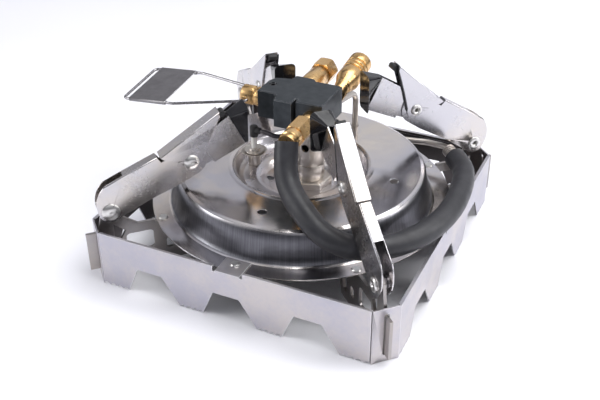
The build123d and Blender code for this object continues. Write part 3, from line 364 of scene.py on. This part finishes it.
# materials by the record's slot names, then the ones that a few pieces have instead
MATERIALS = {
    "wall_steel": sheet_steel("wall_steel", tint=(0.50, 0.49, 0.545), warm=(0.60, 0.565, 0.56),
                              polish=(0.30, 0.44), grain=(40, 40, 2600), wave=500 * MICRON,
                              # inside: painted shade on the windshield's inner faces
                              inside=(0.17, 0.155, 0.155)),
    "polished_steel": pan_steel(),
    "leg_steel": sheet_steel("leg_steel", tint=(0.60, 0.59, 0.62), warm=(0.68, 0.635, 0.595),
                             polish=(0.18, 0.32), grain=(500, 500, 500), wave=700 * MICRON),
    "shoe_black": gloss_black(),
    "black_rubber": rubber("black_rubber", (0.014, 0.014, 0.015), (0.03, 0.03, 0.032), 0.5),
    "rivet_steel": plain_metal("rivet_steel", (0.78, 0.77, 0.75), (0.64, 0.62, 0.60), (0.26, 0.38)),
    "nickel": plain_metal("nickel", (0.62, 0.585, 0.545), (0.55, 0.50, 0.46), (0.3, 0.42)),
    "brass": turned_brass("brass"),
    "cast_burner": cast_iron(),
    "ceramic": ceramic(),
    "black_plastic": rubber("black_plastic", (0.02, 0.02, 0.022), (0.035, 0.035, 0.038), 0.42),
    "lead_sheath": rubber("lead_sheath", (0.028, 0.022, 0.03), (0.05, 0.042, 0.05), 0.36),
    "hose_rubber": rubber("hose_rubber", (0.024, 0.024, 0.028), (0.042, 0.042, 0.048), 0.45),
    "black_anodised": anodised(),
    "flag_steel": plain_metal("flag_steel", (0.25, 0.24, 0.25), (0.31, 0.30, 0.31), (0.38, 0.52), 2400),
    "grooved_brass": turned_brass("grooved_brass", grooved=True),
    "bracket_steel": sheet_steel("bracket_steel", tint=(0.40, 0.38, 0.38), warm=(0.45, 0.41, 0.38),
                                 polish=(0.26, 0.4), grain=(400, 400, 400), wave=400 * MICRON),
    "drawn_wire": plain_metal("drawn_wire", (0.40, 0.39, 0.40), (0.32, 0.31, 0.32), (0.2, 0.32)),
    # bright metal colour of the edge bands that paint highlights along edges
    "painted_edge_highlight": plain_metal("painted_edge_highlight", (0.86, 0.86, 0.88), (0.78, 0.78, 0.8), (0.3, 0.45)),
}
SLOT_OF = {part["node"]: part["material_slot"] for part in frame["record"]["subparts"]}
OWN_LOOK = {"bail_wire": "drawn_wire", "canister_collar": "grooved_brass", "pan_rivets": "rivet_steel",
            "port_screw": "shoe_black",
            **{f"corner_bracket_{leg}": "bracket_steel" for leg in LEGS}}


# ---------------------------------------------------------------- carried-over pieces
EDGE_ANGLE = math.radians(28)
WELD_GAP = 1 * MICRON
SMALL_ROUND = 0.15
ROUNDED = {"drip_pan": 0.2, "corner_bracket": 0.25}         # edge rounds that differ, in mm
PAINTED_EDGE_HIGHLIGHTS = {"valve_body": 0.38, "foot_shoe": 0.6, "knee_saddle": 0.4, "leg_arm": 0.3, "leg_foot": 0.35,
                "windshield": 0.3, "bail_flag": 0.3}        # width of the edge bands painted bright as highlights along sawn, cut or machined edges, in mm


def edge_bevel(piece, width, segments=2):
    bevel = piece.modifiers.new("bevel", "BEVEL")
    bevel.width = width * MM
    bevel.segments = segments
    bevel.limit_method = "ANGLE"
    bevel.angle_limit = EDGE_ANGLE
    bevel.harden_normals = True
    bevel.use_clamp_overlap = True
    return bevel


def named_size(name, sizes):
    """The size that a table gives for a piece by the start of its name."""
    return next((size for start, size in sizes.items() if name.startswith(start)), None)


def finish_node(name, node):
    """Gives a carried-over piece its material, small edge rounds or edge bands painted bright as highlights,
    and smooth curved faces.
    """
    node.data.materials.clear()
    node.data.materials.append(MATERIALS[OWN_LOOK.get(name, SLOT_OF[name])])
    weld = node.modifiers.new("weld", "WELD")
    weld.merge_threshold = WELD_GAP
    bright = named_size(name, PAINTED_EDGE_HIGHLIGHTS)
    if bright:
        # painted highlight: the edge bevel takes a bright metal colour
        node.data.materials.append(MATERIALS["painted_edge_highlight"])
        edge_bevel(node, bright, segments=1).material = 1
    else:
        edge_bevel(node, named_size(name, ROUNDED) or SMALL_ROUND)


for node_name, node_object in frame["nodes"].items():
    finish_node(node_name, node_object)


# ---------------------------------------------------------------- hose
HOSE_DIAMETER = 14.0
HOSE_ROUTE = [
    (11.6, -44.6, 94.0), (13.2, -49.4, 86.2), (16.4, -55.6, 77.2), (23.8, -62.0, 70.0),
    (33.8, -68.4, 65.2), (45.0, -73.8, 59.4), (57.0, -71.5, 53.0), (69.0, -63.8, 48.2), (81.0, -52.8, 46.8),
    (91.5, -37.0, 46.8), (98.0, -18.0, 46.9), (100.2, 2.0, 47.2), (98.8, 21.0, 46.9), (96.0, 37.0, 46.7),
    (91.5, 49.5, 46.8), (83.5, 58.5, 47.0),
]


def round_curve(name, radius, slot, smoothness):
    """Empty curve with a round section, and the object that shows it; radius in mm."""
    data = bpy.data.curves.new(name, "CURVE")
    data.dimensions = "3D"
    data.bevel_depth = radius * MM
    data.bevel_resolution = smoothness
    data.use_fill_caps = True
    data.materials.append(MATERIALS[slot])
    piece = bpy.data.objects.new(name, data)
    bpy.context.collection.objects.link(piece)
    return data, piece


def make_hose():
    data, hose = round_curve("hose", HOSE_DIAMETER / 2, "hose_rubber", smoothness=8)
    spline = data.splines.new("NURBS")
    spline.points.add(len(HOSE_ROUTE) - 1)
    for place, point in zip(spline.points, HOSE_ROUTE):
        place.co = (*(value * MM for value in point), 1.0)
    spline.order_u = 3
    spline.use_endpoint_u = True
    spline.resolution_u = 10
    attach(hose, "stove")
    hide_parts("rubber_hose")


make_hose()


# ---------------------------------------------------------------- trim the solids leave out, and painted gap shadows
HINGE_R, HINGE_Z = 122.5, 46.5
STOWED = {"left": (225.0, 26.0), "front": (315.0, 38.0), "right": (45.0, 36.0), "back": (135.0, 30.0)}
SADDLE_EDGE = ((86.4, 17.0), (85.3, 15.3), (81.0, 11.7), (72.0, 4.7), (62.4, -3.5))
SADDLE_SIDE = -4.45
# radius of the painted gap shadow along each knee saddle's lower edge, in mm
GAP_SHADOW_RADIUS = 0.5


def leg_matrix(leg):
    """Leg frame: x from the hinge along the leg, y towards its spine, z across it; millimetres to metres."""
    azimuth, tilt = (math.radians(value) for value in STOWED[leg])
    outward = Vector((math.cos(azimuth), math.sin(azimuth), 0))
    across = Vector((-outward.y, outward.x, 0))
    along = Vector((0, 0, math.sin(tilt))) - outward * math.cos(tilt)
    spine = Vector((0, 0, math.cos(tilt))) + outward * math.sin(tilt)
    origin = outward * HINGE_R + Vector((0, 0, HINGE_Z))
    turn = Matrix((along, spine, across)).transposed().to_4x4()
    return Matrix.Scale(MM, 4) @ Matrix.Translation(origin) @ turn


def saddle_gap_shadow(leg):
    """Thin black bead along the lower edge of a knee saddle: painted shadow of the gap between saddle and
    foot.
    """
    data, gap_shadow = round_curve(f"saddle_gap_shadow_{leg}", GAP_SHADOW_RADIUS, "black_rubber", smoothness=3)
    spline = data.splines.new("BEZIER")
    spline.bezier_points.add(len(SADDLE_EDGE) - 1)
    matrix = leg_matrix(leg)
    for place, (x, y) in zip(spline.bezier_points, SADDLE_EDGE):
        place.co = matrix @ Vector((x, y, SADDLE_SIDE))
        place.handle_left_type = place.handle_right_type = "VECTOR"
    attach(gap_shadow, f"arm_{leg}")


IGNITER = (-32.5, -1.8)
WASHER = ((4.1, 0.2), (6.2, 0.0), (8.0, 1.1), (8.2, 1.6), (7.9, 1.6), (6.0, 0.6), (4.1, 0.8), (4.1, 0.2))
WASHER_RISE = 8.0
WASHER_SIDES = 48
WASHER_ROUND = 0.12


def igniter_washer():
    """Dished washer over the igniter's collar, turned from (radius, height) pairs in mm."""
    mesh = bpy.data.meshes.new("igniter_washer")
    form = bmesh.new()
    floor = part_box("igniter_collar")[0][2] / MM + WASHER_RISE
    rings = []
    for radius, height in WASHER:
        ring = []
        for step in range(WASHER_SIDES):
            angle = math.tau * step / WASHER_SIDES
            ring.append(form.verts.new((IGNITER[0] * MM + radius * MM * math.cos(angle),
                                        IGNITER[1] * MM + radius * MM * math.sin(angle),
                                        (floor + height) * MM)))
        rings.append(ring)
    for low, high in zip(rings, rings[1:]):
        for step in range(WASHER_SIDES):
            after = (step + 1) % WASHER_SIDES
            form.faces.new((low[step], low[after], high[after], high[step]))
    bmesh.ops.recalc_face_normals(form, faces=form.faces)
    form.to_mesh(mesh)
    form.free()
    mesh.polygons.foreach_set("use_smooth", [True] * len(mesh.polygons))
    mesh.materials.append(MATERIALS["nickel"])
    washer = bpy.data.objects.new("igniter_washer", mesh)
    bpy.context.collection.objects.link(washer)
    edge_bevel(washer, WASHER_ROUND)
    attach(washer, "stove")


for leg_name in LEGS:
    saddle_gap_shadow(leg_name)
igniter_washer()


# ---------------------------------------------------------------- floor and light
FLOOR_SIZE = 8
LIGHTS = {                  # place, what it points at, width, height, watts
    "overhead": ((0.35, 0.12, 1.1), (0, 0, 0), 1.1, 0.9, 12.5),
    "left_box": ((-0.9, -0.5, 0.5), (0, 0, 0.03), 0.4, 0.7, 4.5),
    "right_box": ((0.9, 0.3, 0.5), (0, 0, 0.03), 0.3, 0.7, 4),
}
WORLD_STRENGTH = 0.78
STUDIO_SHADE, STUDIO_PALE = (0.10, 0.10, 0.115), (0.93, 0.94, 1.0)
STUDIO_DARK = (0.045, 0.045, 0.055)
DARK_SIDE = (0.42, -0.91, 0.0)          # the unlit side of the studio, which is dark low down


def make_floor():
    bpy.ops.mesh.primitive_plane_add(size=FLOOR_SIZE, location=(0, 0, 0))
    floor = bpy.context.object
    floor.name = "floor"
    m = Material("floor")
    m.colour(m.mix(m.noise(scale=3, detail=3), (0.93, 0.93, 0.98), (0.95, 0.95, 0.99)))
    m.rough(m.ramp(m.noise(scale=6, detail=2), (0.3, 0.55), (0.7, 0.7)))
    floor.data.materials.append(m.material)


def make_light(name, place, target, width, height, watts):
    data = bpy.data.lights.new(name, "AREA")
    data.shape = "RECTANGLE"
    data.size = width
    data.size_y = height
    data.energy = watts
    lamp = bpy.data.objects.new(name, data)
    lamp.location = place
    lamp.rotation_mode = "QUATERNION"
    lamp.rotation_quaternion = (Vector(target) - Vector(place)).to_track_quat("-Z", "Y")
    bpy.context.collection.objects.link(lamp)


def make_world():
    """Pale studio with soft darker panels, so that bright metal has something to reflect."""
    world = bpy.data.worlds.new("studio")
    bpy.context.scene.world = world
    nodes = Nodes(world, coordinates="Generated")
    panels = nodes.ramp(nodes.noise(scale=1.7, detail=1.5), (0.42, STUDIO_SHADE), (0.56, STUDIO_PALE))
    on_dark_side = nodes.smooth(nodes.vector("DOT_PRODUCT", nodes.place, DARK_SIDE), 0.25, 0.75)
    low_down = nodes.smooth(nodes.split(nodes.place)[2], 0.55, 0.2)
    dark = nodes.math("MULTIPLY", on_dark_side, low_down)
    background = nodes.tree.nodes["Background"]
    nodes.feed(WORLD_STRENGTH, background.inputs["Strength"])
    nodes.feed(nodes.mix(dark, panels, STUDIO_DARK), background.inputs["Color"])


make_floor()
make_world()
for light_name, light in LIGHTS.items():
    make_light(light_name, *light)
bpy.context.scene.view_settings.view_transform = "Standard"
